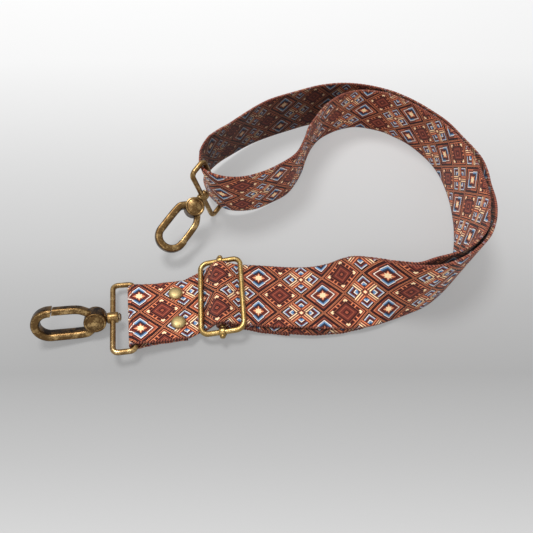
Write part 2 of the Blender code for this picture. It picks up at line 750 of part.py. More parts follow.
def set_origin():
    """Move everything so that the origin is at the bottom centre of the whole strap."""
    bpy.context.view_layer.update()
    corners = []
    for item in bpy.context.scene.objects:
        if item.type == "MESH" and not item.hide_render:
            corners += [item.matrix_world @ vertex.co for vertex in item.data.vertices]
    low = Vector([min(corner[axis] for corner in corners) for axis in range(3)])
    high = Vector([max(corner[axis] for corner in corners) for axis in range(3)])
    move = Matrix.Translation((-(low.x + high.x) / 2.0, -(low.y + high.y) / 2.0, -low.z))
    for item in bpy.context.scene.objects:
        if item.parent is None:
            item.matrix_world = move @ item.matrix_world
    bpy.context.view_layer.update()


def main():
    clear_scene()
    fabric = make_material("printed_webbing", (0.30, 0.13, 0.08), 0.85, 0.0)
    brass = make_material("antique_brass", (0.42, 0.31, 0.16), 0.38, 1.0)
    steel = make_material("dark_steel", (0.20, 0.18, 0.15), 0.35, 1.0)
    end = make_webbing(fabric)
    make_rivets(end, brass)
    make_slider(brass)
    ring_1 = make_ring(1, ring_1_matrix(), brass)
    ring_2 = make_ring(2, ring_2_matrix(), brass)
    reach = shift(ring_pitch(), 0.0, 0.0)
    make_hook(1, reach @ turn(HOOK_1_TURN, "X"), ring_1, brass, steel)
    make_hook(2, reach @ turn(HOOK_2_TURN, "X"), ring_2, brass, steel)
    set_origin()


main()
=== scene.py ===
"""Looks for the detachable bag strap: printed webbing, antique brass, floor, light and camera."""
import math

import bmesh
import bpy
from mathutils import Matrix, Vector


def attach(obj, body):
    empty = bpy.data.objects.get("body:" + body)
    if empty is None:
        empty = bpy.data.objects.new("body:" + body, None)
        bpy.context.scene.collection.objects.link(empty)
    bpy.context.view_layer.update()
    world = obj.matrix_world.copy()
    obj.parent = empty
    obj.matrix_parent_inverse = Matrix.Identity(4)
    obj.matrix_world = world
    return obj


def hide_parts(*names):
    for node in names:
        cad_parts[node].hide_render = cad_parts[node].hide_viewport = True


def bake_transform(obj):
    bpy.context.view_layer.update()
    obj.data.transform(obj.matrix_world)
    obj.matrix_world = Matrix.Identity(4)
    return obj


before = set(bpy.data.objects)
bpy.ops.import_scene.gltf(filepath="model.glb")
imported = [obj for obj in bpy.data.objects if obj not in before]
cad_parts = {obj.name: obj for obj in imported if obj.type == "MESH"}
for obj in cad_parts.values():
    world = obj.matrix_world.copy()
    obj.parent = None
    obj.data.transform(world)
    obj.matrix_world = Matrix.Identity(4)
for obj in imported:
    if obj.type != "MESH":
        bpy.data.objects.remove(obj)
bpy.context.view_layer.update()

TAU = 2.0 * math.pi

# ---------------------------------------------------------------- sizes, as in the part's source
WEBBING_WIDTH = 0.038
WEBBING_THICKNESS = 0.0015
GAP = 0.0003
EDGE_LIFT = 0.0003
LAYER = WEBBING_THICKNESS + GAP
FOLD_BACK = 0.0258
SEAM_LEAD = 0.0012
RING_WIRE = 0.0028
RING_OPENING = 0.0080
RING_SLACK = 0.0016
RING_CORNER = 0.0028
BOSS_DIAMETER = 0.0058
BOSS_LENGTH = 0.0056
BARREL_DIAMETER = 0.0110
BARREL_DEPTH = 0.0080
NECK_DIAMETER = 0.0058
NECK_LENGTH = 0.0010
HOOK_BAR = 0.0042
HOOK_DEPTH = 0.0062
HOOK_INNER_WIDTH = 0.0098
HOOK_INNER_LENGTH = 0.0208
GATE_BAR = 0.0036
GATE_EYE_DIAMETER = 0.0056
GATE_EYE_WIDTH = 0.0042
SLIDER_WIRE = 0.0028
SLIDER_LENGTH = 0.0252
SLIDER_SLACK = 0.0030
SLIDER_CORNER = 0.0042
CENTRE_BAR_DIAMETER = 0.0028
EYELET_WALL = 0.0008
EYELET_WIDTH = 0.0040
RIVET_CAP_DIAMETER = 0.0076
RIVET_CAP_HEIGHT = 0.0020
RIVET_RIM = 0.0005
RIVET_PITCH = 0.0190
RIVET_FROM_BAR = 0.0220
LAY_UNIT = 0.1
SLIDER_PLACE = (-0.240, 1.344)
SLIDER_HEIGHT = 0.0081
SLIDER_YAW, SLIDER_ROLL, SLIDER_PITCH = 5.0, 1.5, -9.5
END_PLACE = (-0.686, 1.230)
END_HEIGHT = 0.0059
END_YAW, END_ROLL, END_PITCH = 12.0, -4.5, 5.0
RING_1_RISE = 2.9
RING_2_TURN = 8.0
HOOK_1_TURN = 112.0
HOOK_2_TURN = -123.0
MAIN_ROUTE = (
    (0.00, 1.168, 2.0, 2), (0.12, 1.164, 2.0, 1), (0.24, 1.160, 1.9, 3),
    (0.36, 1.159, 1.75, 11), (0.47, 1.166, 1.25, 28), (0.57, 1.192, 0.8, 51),
    (0.66, 1.230, 0.45, 70), (0.75, 1.270, 0.25, 82), (0.84, 1.314, 0.1, 89),
    (0.915, 1.368, 0, 93), (0.99, 1.437, 0, 96), (1.08, 1.533, 0, 97),
    (1.155, 1.612, 0, 93), (1.208, 1.690, 0, 89), (1.222, 1.770, 0, 89),
    (1.208, 1.870, 0, 92), (1.200, 1.980, 0, 95), (1.204, 2.100, 0, 93),
    (1.194, 2.280, 0, 85), (1.170, 2.420, 0, 81), (1.126, 2.535, 0, 78),
    (1.040, 2.670, 0, 76), (0.945, 2.760, 0, 76), (0.835, 2.835, 0, 76),
    (0.670, 2.890, 0, 77), (0.500, 2.910, 0, 77), (0.326, 2.880, 0, 77),
    (0.155, 2.807, 0, 77), (-0.012, 2.718, 0.2, 77), (-0.133, 2.630, 0.6, 75),
    (-0.247, 2.515, 1.3, 73), (-0.325, 2.425, 1.9, 72), (-0.380, 2.330, 2.4, 74),
    (-0.402, 2.235, 2.7, 79),
)
SHARED_STATIONS = 8
RETURN_ROUTE = (
    (0.84, 1.345, 0, 86), (0.93, 1.412, 0, 92), (1.01, 1.500, 0, 97),
    (1.07, 1.600, 0, 100), (1.106, 1.710, 0, 100), (1.130, 1.800, 0, 100),
    (1.153, 1.920, 0, 97), (1.170, 2.094, 0, 93), (1.164, 2.280, 0, 86),
    (1.138, 2.410, 0, 82), (1.094, 2.515, 0, 79), (1.012, 2.644, 0, 77),
    (0.920, 2.733, 0, 76), (0.820, 2.802, 0, 76), (0.665, 2.848, 0, 75),
    (0.551, 2.827, 0, 76), (0.458, 2.780, 0, 77), (0.365, 2.701, 0, 77),
    (0.300, 2.592, 0, 79), (0.259, 2.476, 0, 82), (0.230, 2.370, 0, 85),
    (0.187, 2.267, 0, 83), (0.125, 2.164, 0.1, 80), (0.026, 2.082, 0.5, 78),
    (-0.071, 2.018, 1.1, 77), (-0.165, 1.990, 1.9, 75), (-0.240, 1.992, 2.5, 75),
    (-0.297, 2.028, 2.8, 76), (-0.352, 2.094, 2.9, 86),
)
RING_2_STATION = 27
TAIL_STATIONS = 1
SEAM_STATION = 4
STEPS = 12
BAR_STEPS = 16
# Columns across the webbing's faces, and how its edges are rounded
COLUMNS = 12
EDGE_ROUND = 0.0006
EDGE_SHOULDER = 0.0002
# Every other station's edge is drawn in by this much
EDGE_NOTCH = 0.00028
# The lower layer and the tail lie this much nearer than the top one, by stations past the slider
SLIP = ((-3, 0.0), (-1, 0.0006), (0, 0.0019), (1, 0.0028), (2, 0.0030), (3, 0.0022),
        (4, 0.0008), (5, 0.0))
# The end point given with the right-hand pieces lies this far before the seam
SEAM_MARGIN = 0.0035
BOSS_BORE = 0.0030
# Radii of rounded rims
ROD_EDGE = 0.0002
EYE_EDGE = 0.0003
NECK_EDGE = 0.0004
DRUM_EDGE = 0.0006
# Edges sharper than this many degrees stay crisp on the cast pieces
CAST_ANGLE = 38.0
# A barrel's faces cover the pin's ends, with a fine groove: (in from the rim, depth)
FACE_RISE = 0.00008
FACE_GROOVE = ((0.0016, 0.0), (0.0013, 0.00018), (0.0010, 0.0))
# From the table's axes, under the camera, to the frame's
TO_FRAME = Matrix.Translation((-0.0033332, -0.1955428, -0.0001017))


# ---------------------------------------------------------------- small helpers
def turn(degrees, axis):
    return Matrix.Rotation(math.radians(degrees), 4, axis)


def shift(x, y, z):
    return Matrix.Translation((x, y, z))


def srgb(red, green, blue):
    """A colour given as 0-255 values, as the shader wants it."""
    out = []
    for value in (red, green, blue):
        share = value / 255.0
        out.append(share / 12.92 if share <= 0.04045 else ((share + 0.055) / 1.055) ** 2.4)
    return (*out, 1.0)


def make_object(name, verts, faces, materials, uvs=None, indices=None):
    mesh = bpy.data.meshes.new(name)
    mesh.from_pydata([tuple(v) for v in verts], [], faces)
    for material in materials:
        mesh.materials.append(material)
    if uvs is not None:
        layer = mesh.uv_layers.new(name="UVMap")
        for loop in mesh.loops:
            layer.data[loop.index].uv = uvs[loop.vertex_index]
    if indices is not None:
        mesh.polygons.foreach_set("material_index", indices)
    mesh.update()
    item = bpy.data.objects.new(name, mesh)
    bpy.context.scene.collection.objects.link(item)
    mesh.shade_smooth()
    return item


def outward(item, angle):
    """Face every shell outward and keep edges over an angle crisp."""
    bm = bmesh.new()
    bm.from_mesh(item.data)
    bmesh.ops.recalc_face_normals(bm, faces=bm.faces)
    bm.to_mesh(item.data)
    bm.free()
    item.data.shade_smooth()
    item.data.set_sharp_from_angle(angle=math.radians(angle))


def tube_shell(frames, section, closed=False):
    """Vertices and faces of a section carried along (origin, across, up) frames."""
    verts = []
    for origin, across, up in frames:
        verts += [origin + across * a + up * b for a, b in section]
    count = len(verts) // len(frames)
    faces = []
    last = len(frames) if closed else len(frames) - 1
    for index in range(last):
        one = index * count
        two = ((index + 1) % len(frames)) * count
        for side in range(count):
            after = (side + 1) % count
            faces.append((one + side, one + after, two + after, two + side))
    if not closed:
        faces.append(tuple(range(count - 1, -1, -1)))
        faces.append(tuple((len(frames) - 1) * count + side for side in range(count)))
    return verts, faces


def revolve_shell(profile, sides, matrix=None):
    """Vertices and faces of (radius, height) points turned about Z; both ends on the axis."""
    verts = []
    for radius, height in profile[1:-1]:
        for side in range(sides):
            angle = TAU * side / sides
            verts.append(Vector((radius * math.cos(angle), radius * math.sin(angle), height)))
    faces = []
    rows = len(profile) - 2
    for row in range(rows - 1):
        for side in range(sides):
            after = (side + 1) % sides
            one = row * sides
            two = one + sides
            faces.append((one + side, one + after, two + after, two + side))
    low = len(verts)
    verts.append(Vector((0.0, 0.0, profile[0][1])))
    verts.append(Vector((0.0, 0.0, profile[-1][1])))
    for side in range(sides):
        after = (side + 1) % sides
        faces.append((low, after, side))
        faces.append((low + 1, (rows - 1) * sides + side, (rows - 1) * sides + after))
    if matrix is not None:
        verts = [matrix @ v for v in verts]
    return verts, faces


def join_shells(*shells):
    verts = []
    faces = []
    for shell_verts, shell_faces in shells:
        base = len(verts)
        verts += shell_verts
        faces += [tuple(base + i for i in face) for face in shell_faces]
    return verts, faces


def place_shell(shell, matrix):
    verts, faces = shell
    return [matrix @ v for v in verts], faces


def rounded_edge_rod(radius, half, edge, steps=4):
    """Profile of a short cylinder with rounded rims, for revolve_shell."""
    profile = [(0.0, -half), (radius - edge, -half)]
    for step in range(1, steps + 1):
        angle = math.radians(-90.0 + 90.0 * step / steps)
        profile.append((radius - edge + edge * math.cos(angle),
                        -half + edge + edge * math.sin(angle)))
    for step in range(0, steps + 1):
        angle = math.radians(90.0 * step / steps)
        profile.append((radius - edge + edge * math.cos(angle),
                        half - edge + edge * math.sin(angle)))
    profile.append((0.0, half))
    return profile


def oval(width, depth, power, sides=24):
    """Section from a circle (power 2) toward a rounded rectangle (higher powers)."""
    points = []
    for side in range(sides):
        angle = TAU * (side + 0.5) / sides
        c = math.cos(angle)
        s = math.sin(angle)
        points.append((width / 2.0 * math.copysign(abs(c) ** (2.0 / power), c),
                       depth / 2.0 * math.copysign(abs(s) ** (2.0 / power), s)))
    return points


def smooth_between(before, start, end, after, share):
    first = (end - before) / 2.0
    second = (after - start) / 2.0
    square = share * share
    cube = square * share
    return (start * (2 * cube - 3 * square + 1) + first * (cube - 2 * square + share)
            + end * (3 * square - 2 * cube) + second * (cube - square))


def smooth_points(points, steps):
    result = []
    last = len(points) - 1
    for index in range(last):
        window = [points[max(0, index - 1)], points[index], points[index + 1],
                  points[min(last, index + 2)]]
        result += [smooth_between(*window, step / steps) for step in range(steps)]
    return result + [points[-1]]


# ---------------------------------------------------------------- the webbing's route
def smooth_route(stations, steps):
    points = smooth_points([item[0] for item in stations], steps)
    widths = smooth_points([item[1] for item in stations], steps)
    return [(point, width.normalized()) for point, width in zip(points, widths)]


def lay_stations(table):
    flat = [Vector((across * LAY_UNIT, away * LAY_UNIT, 0.0)) for across, away, _, _ in table]
    stations = []
    for index, (_, _, layers, roll) in enumerate(table):
        ahead = flat[min(index + 1, len(flat) - 1)] - flat[max(index - 1, 0)]
        left = Vector((-ahead.y, ahead.x, 0.0)).normalized()
        angle = math.radians(roll)
        width = left * math.cos(angle) + Vector((0.0, 0.0, math.sin(angle)))
        height = EDGE_LIFT + layers * LAYER + WEBBING_THICKNESS / 2.0 * abs(math.cos(angle))
        stations.append((flat[index] + Vector((0.0, 0.0, height)), width))
    return stations


def profile_stations(matrix, profile):
    width = matrix.to_3x3() @ Vector((0.0, 1.0, 0.0))
    half = WEBBING_WIDTH / 2.0
    return [(matrix @ Vector((x, -half, z)), width) for x, z in profile]


def slider_matrix():
    place = shift(SLIDER_PLACE[0] * LAY_UNIT, SLIDER_PLACE[1] * LAY_UNIT, SLIDER_HEIGHT)
    return place @ turn(SLIDER_YAW, "Z") @ turn(SLIDER_ROLL, "X") @ turn(SLIDER_PITCH, "Y")


def end_matrix():
    place = shift(END_PLACE[0] * LAY_UNIT, END_PLACE[1] * LAY_UNIT, END_HEIGHT)
    return place @ turn(END_YAW, "Z") @ turn(END_ROLL, "X") @ turn(END_PITCH, "Y")


REACH = (SLIDER_LENGTH - SLIDER_WIRE) / 2.0
UNDER = (SLIDER_WIRE + WEBBING_THICKNESS) / 2.0 + 1.5 * GAP
WRAP = (CENTRE_BAR_DIAMETER + WEBBING_THICKNESS) / 2.0 + GAP
FOLD = (RING_WIRE + WEBBING_THICKNESS) / 2.0 + GAP


def main_through_slider():
    top = WRAP + LAYER
    profile = [(-REACH, -UNDER), (-0.76 * REACH, -0.56 * UNDER), (-0.36 * REACH, 0.54 * top),
               (-0.18 * REACH, 0.92 * top), (0.0, top), (0.18 * REACH, 0.92 * top),
               (0.36 * REACH, 0.56 * top), (0.75 * REACH, -0.50 * UNDER), (REACH, -UNDER)]
    return profile_stations(slider_matrix(), profile)


def shared_return_stations():
    result = []
    stations = lay_stations(MAIN_ROUTE)
    for index in range(SHARED_STATIONS):
        point, width = stations[index]
        ahead = stations[index + 1][0] - stations[max(index - 1, 0)][0]
        result.append((point - ahead.cross(width).normalized() * LAYER, width))
    return result


def main_route():
    places = (FOLD_BACK - SEAM_LEAD, FOLD_BACK, FOLD_BACK + SEAM_LEAD)
    lead = profile_stations(end_matrix(), [(place, LAYER / 2.0) for place in places])
    stations = lead + main_through_slider() + lay_stations(MAIN_ROUTE)
    return smooth_route(stations, STEPS), (len(stations) - len(MAIN_ROUTE)) * STEPS


def beneath(fine, first, last):
    result = []
    for index in range(first, last + 1):
        point, width = fine[index]
        normal = (fine[index + 1][0] - fine[index - 1][0]).cross(width).normalized()
        result.append((point - normal * LAYER, width))
    return result


def return_route():
    profile = [(0.0, WRAP), (0.50 * WRAP, 0.88 * WRAP), (0.26 * REACH, 0.42 * WRAP),
               (0.62 * REACH, -0.98 * UNDER), (REACH, -UNDER - LAYER)]
    stations = (profile_stations(slider_matrix(), profile) + shared_return_stations()
                + lay_stations(RETURN_ROUTE))
    start = (len(stations) - len(RETURN_ROUTE) - SHARED_STATIONS) * STEPS
    fine = smooth_route(stations, STEPS)
    main_fine, main_start = main_route()
    shared = (SHARED_STATIONS - 1) * STEPS
    fine[start:start + shared + 1] = beneath(main_fine, main_start, main_start + shared)
    return fine, start


def route_length(stations):
    middle = [point + width * (WEBBING_WIDTH / 2.0) for point, width in stations]
    return sum((b - a).length for a, b in zip(middle, middle[1:]))


# ---------------------------------------------------------------- node helpers
class Nodes:
    """Short calls for building a material's nodes."""

    def __init__(self, name):
        self.material = bpy.data.materials.new(name)
        self.material.use_nodes = True
        self.tree = self.material.node_tree
        self.shader = self.tree.nodes["Principled BSDF"]

    def add(self, kind, **values):
        node = self.tree.nodes.new(kind)
        for key, value in values.items():
            setattr(node, key, value)
        return node

    def put(self, socket, value):
        if isinstance(value, bpy.types.NodeSocket):
            self.tree.links.new(value, socket)
        else:
            socket.default_value = value

    def math(self, operation, *values):
        node = self.add("ShaderNodeMath", operation=operation)
        for socket, value in zip(node.inputs, values):
            self.put(socket, value)
        return node.outputs[0]

    def between(self, value, low, high):
        """1 where low < value < high."""
        return self.math("MULTIPLY", self.math("GREATER_THAN", value, low),
                         self.math("LESS_THAN", value, high))

    def mix(self, share, one, two):
        node = self.add("ShaderNodeMix", data_type="RGBA")
        self.put(node.inputs[0], share)
        self.put(node.inputs[6], one)
        self.put(node.inputs[7], two)
        return node.outputs[2]

    def ramp(self, value, stops, interpolation="CONSTANT"):
        node = self.add("ShaderNodeValToRGB")
        node.color_ramp.interpolation = interpolation
        elements = node.color_ramp.elements
        while len(elements) < len(stops):
            elements.new(0.5)
        for element, (place, colour) in zip(elements, stops):
            element.position = place
        for element, (place, colour) in zip(elements, stops):
            element.color = colour
        self.put(node.inputs[0], value)
        return node.outputs[0]

    def noise(self, vector, scale, detail=2.0, roughness=0.5):
        node = self.add("ShaderNodeTexNoise")
        self.put(node.inputs["Vector"], vector)
        node.inputs["Scale"].default_value = scale
        node.inputs["Detail"].default_value = detail
        node.inputs["Roughness"].default_value = roughness
        return node.outputs[0]

    def vector(self, x, y, z=0.0):
        node = self.add("ShaderNodeCombineXYZ")
        for socket, value in zip(node.inputs, (x, y, z)):
            self.put(socket, value)
        return node.outputs[0]

    def dot(self, vector, direction):
        node = self.add("ShaderNodeVectorMath", operation="DOT_PRODUCT")
        self.put(node.inputs[0], vector)
        node.inputs[1].default_value = direction
        return node.outputs["Value"]

    def bump(self, height, distance, strength=1.0):
        node = self.add("ShaderNodeBump")
        node.inputs["Strength"].default_value = strength
        node.inputs["Distance"].default_value = distance
        self.put(node.inputs["Height"], height)
        self.put(self.shader.inputs["Normal"], node.outputs[0])


# ---------------------------------------------------------------- webbing material
DARK = srgb(56, 20, 20)
BROWN = srgb(104, 44, 36)
RUST = srgb(156, 78, 56)
ORANGE = srgb(222, 132, 90)
CREAM = srgb(255, 222, 176)
PALE = srgb(240, 222, 208)
BLUE = srgb(104, 144, 184)
NAVY = srgb(46, 54, 76)
BLACK = srgb(28, 12, 14)
HEM_DARK = srgb(66, 28, 26)
HEM_LIGHT = srgb(150, 84, 64)
# Pitches of the print and the weave, and where the selvedge starts, from the middle
DIAMOND_LENGTH = 0.023
DIAMOND_WIDTH = 0.0205
RIB_PITCH = 0.00062
PICK_PITCH = 0.0013
TWIST_PITCH = 0.0014
SELVEDGE_FROM = 0.0181
WEAVE_DEPTH = 0.00009


def webbing_material(name, level, plane=None):
    """Printed webbing. plane = (origin, along, across) prints by place instead of by UV."""
    g = Nodes(name)
    if plane is None:
        uv = g.add("ShaderNodeUVMap", uv_map="UVMap")
        parts = g.add("ShaderNodeSeparateXYZ")
        g.put(parts.inputs[0], uv.outputs[0])
        u = parts.outputs[0]
        v = parts.outputs[1]
    else:
        origin, along, across = plane
        place = g.add("ShaderNodeTexCoord").outputs["Object"]
        u = g.math("SUBTRACT", g.dot(place, along), origin.dot(along))
        v = g.math("SUBTRACT", g.dot(place, across), origin.dot(across))
    # Lattice of diamonds: p and q count cells along its two slants
    along_share = g.math("MULTIPLY", u, 1.0 / DIAMOND_LENGTH)
    across_share = g.math("MULTIPLY", v, 1.0 / DIAMOND_WIDTH)
    p = g.math("ADD", along_share, across_share)
    q = g.math("SUBTRACT", along_share, across_share)
    cell_p = g.math("FLOOR", p)
    cell_q = g.math("FLOOR", q)
    a = g.math("ABSOLUTE", g.math("SUBTRACT", g.math("SUBTRACT", p, cell_p), 0.5))
    b = g.math("ABSOLUTE", g.math("SUBTRACT", g.math("SUBTRACT", q, cell_q), 0.5))
    far = g.math("MAXIMUM", a, b)
    near = g.math("MINIMUM", a, b)
    both = g.math("ADD", a, b)
    apart = g.math("SUBTRACT", far, near)
    double = g.math("MULTIPLY", far, 2.0)
    cell_sum = g.math("ADD", cell_p, cell_q)
    kind = g.math("FLOORED_MODULO", cell_sum, 3.0)
    off_along = g.math("SUBTRACT", g.math("ADD", p, q), g.math("ADD", cell_sum, 1.0))
    off_across = g.math("SUBTRACT", g.math("SUBTRACT", p, q), g.math("SUBTRACT", cell_p, cell_q))
    lengthwise = g.math("GREATER_THAN", g.math("ABSOLUTE", off_along),
                        g.math("ABSOLUTE", off_across))
    # A light diamond: an eight-pointed star, then pale and blue chevrons
    light = g.ramp(double, [(0.0, RUST), (0.30, DARK), (0.36, BROWN), (0.50, PALE), (0.56, DARK),
                            (0.61, RUST), (0.72, ORANGE), (0.76, DARK), (0.88, BLACK)])
    cold = g.ramp(double, [(0.0, BROWN), (0.30, DARK), (0.36, NAVY), (0.46, BLUE), (0.56, PALE),
                           (0.61, DARK), (0.70, RUST), (0.76, DARK), (0.88, BLACK)])
    light = g.mix(lengthwise, cold, light)
    star = g.math("LESS_THAN", g.math("MULTIPLY_ADD", near, 1.7, far), 0.135)
    cross = g.math("LESS_THAN", g.math("MULTIPLY_ADD", apart, 2.6, both), 0.30)
    light = g.mix(cross, light, ORANGE)
    light = g.mix(g.math("MAXIMUM", star, g.math("LESS_THAN",
                                                 g.math("MULTIPLY_ADD", apart, 3.4, both), 0.22)),
                  light, CREAM)
    # A dark diamond in thin diamonds, with a broken rim
    dark = g.ramp(double, [(0.0, RUST), (0.10, BLACK), (0.16, BROWN), (0.30, RUST), (0.36, BROWN),
                           (0.48, BLACK), (0.56, RUST), (0.60, DARK), (0.72, BROWN), (0.80, ORANGE),
                           (0.84, DARK)])
    gaps = g.math("MULTIPLY", g.between(double, 0.60, 0.80), g.between(near, 0.05, 0.09))
    dark = g.mix(gaps, dark, ORANGE)
    corner = g.math("MULTIPLY", g.between(double, 0.60, 0.72), g.math("GREATER_THAN", near, 0.25))
    dark = g.mix(corner, dark, CREAM)
    # A cool diamond: blue and pale corners, with three strokes through each side
    cool = g.ramp(double, [(0.0, CREAM), (0.09, RUST), (0.16, DARK), (0.28, NAVY), (0.38, BLUE),
                           (0.50, PALE), (0.56, DARK), (0.64, BROWN), (0.74, BLUE), (0.80, PALE),
                           (0.84, BLACK)])
    middle = g.math("MULTIPLY", g.math("LESS_THAN", near, 0.135), g.between(double, 0.22, 0.92))
    cool = g.mix(middle, cool, BROWN)
    lines = g.math("MAXIMUM", g.math("LESS_THAN", near, 0.018), g.between(near, 0.062, 0.102))
    stroke = g.math("MULTIPLY", middle, lines)
    cool = g.mix(stroke, cool, g.mix(lengthwise, ORANGE, CREAM))
    colour = g.mix(g.math("GREATER_THAN", kind, 0.5), light, dark)
    colour = g.mix(g.math("GREATER_THAN", kind, 1.5), colour, cool)
    # Thin lines that follow the diamonds' sides
    colour = g.mix(g.between(double, 0.95, 0.98), colour, ORANGE)
    # Print unevenness, weave ribs and selvedge
    flat = g.vector(u, v)
    cloud = g.noise(flat, 130.0, 3.0)
    speck = g.noise(flat, 1500.0, 2.0, 0.7)
    ribs = g.math("SINE", g.math("MULTIPLY", u, TAU / RIB_PITCH))
    picks = g.math("SINE", g.math("MULTIPLY", v, TAU / PICK_PITCH))
    weave = g.math("MULTIPLY_ADD", g.math("MULTIPLY", ribs, picks), 0.25,
                   g.math("MULTIPLY", ribs, 0.5))
    tone = g.math("ADD", g.math("MULTIPLY", g.math("SUBTRACT", cloud, 0.5), 0.35),
                  g.math("MULTIPLY", g.math("SUBTRACT", speck, 0.5), 0.75))
    # The weave's height also lightens the colour on its ribs and darkens it between them: painted
    # light and shade of the weave
    tone = g.math("ADD", g.math("ADD", tone, 1.0), g.math("MULTIPLY", weave, 0.16))
    # level scales the whole print: the copies above front's 1.12 carry painted light, the one below
    # it painted shade
    tone = g.math("MULTIPLY", tone, level)
    edge = g.math("GREATER_THAN", g.math("ABSOLUTE", v), SELVEDGE_FROM)
    slant = g.math("ADD", g.math("MULTIPLY", u, TAU / TWIST_PITCH),
                   g.math("MULTIPLY", g.math("ABSOLUTE", v), TAU / (2.0 * TWIST_PITCH)))
    twist = g.math("SINE", slant)
    hem = g.mix(g.math("GREATER_THAN", twist, 0.1), HEM_DARK, HEM_LIGHT)
    colour = g.mix(g.math("MULTIPLY", edge, 0.75), colour, hem)
    toned = g.add("ShaderNodeVectorMath", operation="SCALE")
    g.put(toned.inputs[0], colour)
    g.put(toned.inputs["Scale"], tone)
    g.put(g.shader.inputs["Base Color"], toned.outputs[0])
    g.shader.inputs["Roughness"].default_value = 0.78
    g.shader.inputs["Specular IOR Level"].default_value = 0.25
    g.shader.inputs["Sheen Weight"].default_value = 0.10
    g.shader.inputs["Sheen Roughness"].default_value = 0.5
    height = g.math("ADD", weave, g.math("MULTIPLY", g.math("MULTIPLY", edge, twist), 1.2))
    g.bump(height, WEAVE_DEPTH, 0.9)
    return g.material


# ---------------------------------------------------------------- metal materials
def metal_material(name, bright, middle, dark, rough=(0.30, 0.52), rub=0.5, face=None):
    """Plated metal with a dark patina, rubbed bright on its edges; the flats across face are
    painted lighter and the sides darker: painted light and shade.
    """
    g = Nodes(name)
    place = g.add("ShaderNodeTexCoord").outputs["Object"]
    point = g.add("ShaderNodeNewGeometry").outputs["Pointiness"]
    blotch = g.noise(place, 260.0, 4.0, 0.62)
    fine = g.noise(place, 1700.0, 3.0, 0.6)
    rubbed = g.math("MULTIPLY", g.math("SUBTRACT", point, 0.5), 5.0 * rub)
    share = g.math("ADD", g.math("MULTIPLY_ADD", g.math("SUBTRACT", blotch, 0.5), 1.5, 0.5), rubbed)
    share = g.math("ADD", share, g.math("MULTIPLY", g.math("SUBTRACT", fine, 0.5), 0.9))
    # Painted light and shade: flats across face are lighter and sides darker, by their normal
    if face is not None:
        normal = g.add("ShaderNodeTexCoord").outputs["Normal"]
        flat = g.math("ABSOLUTE", g.dot(normal, face))
        share = g.math("ADD", share, g.math("MULTIPLY_ADD", flat, 0.56, -0.48))
    colour = g.ramp(share, [(0.0, dark), (0.34, middle), (0.60, middle), (0.95, bright)], "LINEAR")
    g.put(g.shader.inputs["Base Color"], colour)
    g.shader.inputs["Metallic"].default_value = 1.0
    node = g.add("ShaderNodeMapRange")
    g.put(node.inputs[0], blotch)
    node.inputs[1].default_value = 0.3
    node.inputs[2].default_value = 0.7
    node.inputs[3].default_value = rough[1]
    node.inputs[4].default_value = rough[0]
    g.put(g.shader.inputs["Roughness"], node.outputs[0])
    g.bump(g.math("ADD", fine, g.math("MULTIPLY", blotch, 0.8)), 0.00006, 0.6)
    return g.material


brass = metal_material("antique_brass_bright", srgb(240, 214, 156), srgb(172, 142, 86),
                       srgb(76, 54, 32), rough=(0.26, 0.44))
rivet_brass = metal_material("antique_brass_matte", srgb(222, 204, 156), srgb(190, 168, 118),
                             srgb(128, 104, 68), rough=(0.42, 0.58), rub=0.2)
steel = metal_material("dark_steel", srgb(200, 182, 150), srgb(122, 104, 80), srgb(46, 37, 30))
ring_brass = metal_material("antique_brass_worn", srgb(228, 196, 142), srgb(142, 112, 70),
                            srgb(54, 38, 26), rough=(0.28, 0.48), rub=0.8)

end_frame = TO_FRAME @ end_matrix()
end_axes = end_frame.to_3x3()
along = Vector((end_axes.col[0].x, end_axes.col[0].y, 0.0)).normalized()
across = Vector((-along.y, along.x, 0.0))
print_origin = end_frame @ Vector((FOLD_BACK, 0.0, 0.0))
front = webbing_material("webbing_front", level=1.12)
# The other face is the same print at a lower level: painted shade
back_painted_shade = webbing_material("webbing_back_painted_shade", level=0.64)
# The standing loop and the riveted end, and the left stretch below, are the same print at a higher
# level than front: painted light
front_painted_lit = webbing_material("webbing_front_painted_lit", level=1.36)
front_left_painted_lit = webbing_material("webbing_front_by_place_painted_lit", level=1.36,
                              plane=(print_origin, along, across))


